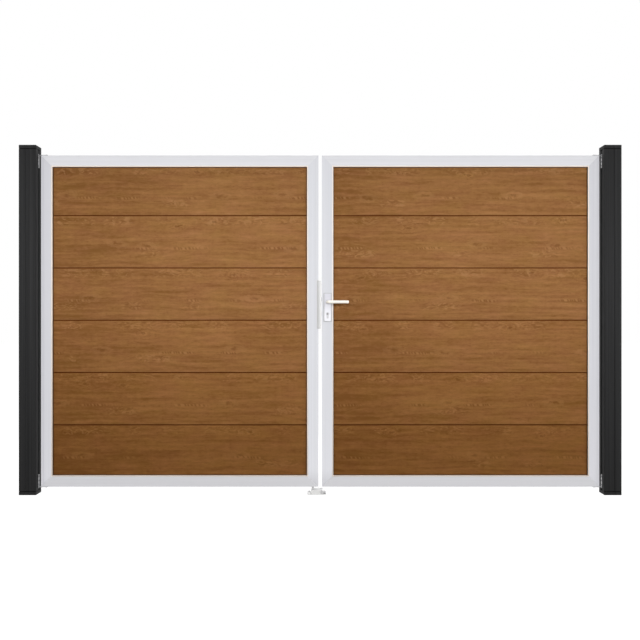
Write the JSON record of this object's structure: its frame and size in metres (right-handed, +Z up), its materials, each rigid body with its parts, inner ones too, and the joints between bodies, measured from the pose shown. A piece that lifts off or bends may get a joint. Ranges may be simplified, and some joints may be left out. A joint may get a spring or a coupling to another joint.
{
  "type": "double fence gate",
  "caption": "Double swing gate: aluminium-framed leaves of horizontal wood-look boards between two dark posts, with lever lock, drop bolt and floor keeper.",
  "frame": {"origin": "middle of the left post's foot, on the ground", "axes": "+X to the right post, +Y inwards (the side the leaves open to), +Z up"},
  "size_m": [3.27, 0.134, 1.9],
  "materials": {
    "post": "fine matt anthracite coat",
    "frame": "satin silver",
    "board": "embossed golden-oak grain, matt",
    "steel": "satin",
    "handle": "pale satin",
    "keeper": "galvanised",
    "buffer": "matt grey"
  },
  "bodies": {
    "posts": {"left_post": "post", "left_post_cap": "post", "left_post_foot": "post", "right_post": "post", "right_post_cap": "post", "right_post_foot": "post", "left_top_hinge": "steel", "left_bottom_hinge": "steel", "right_top_hinge": "steel", "right_bottom_hinge": "steel", "floor_keeper": "keeper", "keeper_buffer": "buffer"},
    "left_leaf": {"left_board_1": "board", "left_board_2": "board", "left_board_3": "board", "left_board_4": "board", "left_board_5": "board", "left_board_6": "board", "left_hinge_stile": "frame", "left_meeting_stile": "frame", "left_top_rail": "frame", "left_bottom_rail": "frame", "left_pivot_bushes": "steel", "strike": "steel", "drop_bolt_guide": "steel", "drop_bolt_plate": "steel"},
    "drop_bolt_body": {"drop_bolt": "steel"},
    "right_leaf": {"right_board_1": "board", "right_board_2": "board", "right_board_3": "board", "right_board_4": "board", "right_board_5": "board", "right_board_6": "board", "right_hinge_stile": "frame", "right_meeting_stile": "frame", "right_top_rail": "frame", "right_bottom_rail": "frame", "right_pivot_bushes": "steel", "lock_forend": "steel", "lock_cylinder": "steel", "front_handle_plate": "handle", "back_handle_plate": "handle"},
    "lever": {"front_lever": "handle", "back_lever": "handle", "spindle": "steel"}
  },
  "joints": [
    {"name": "left_leaf_swing", "type": "hinge", "parent": "posts", "child": "left_leaf", "pos_m": [0.0895, 0, 0.944], "axis": [0, 0, 1], "range_deg": [0, 90]},
    {"name": "drop_bolt_slide", "type": "slide", "parent": "left_leaf", "child": "drop_bolt_body", "axis": [0, 0, -1], "range_m": [0, 0.026]},
    {"name": "right_leaf_swing", "type": "hinge", "parent": "posts", "child": "right_leaf", "pos_m": [3.0855, 0, 0.944], "axis": [0, 0, -1], "range_deg": [0, 90]},
    {"name": "lever_turn", "type": "hinge", "parent": "right_leaf", "child": "lever", "pos_m": [1.628, 0, 1.048], "axis": [0, 1, 0], "range_deg": [0, 40], "stiffness_Nm_per_rad": 1.5, "springref_deg": -20.05}
  ]
}
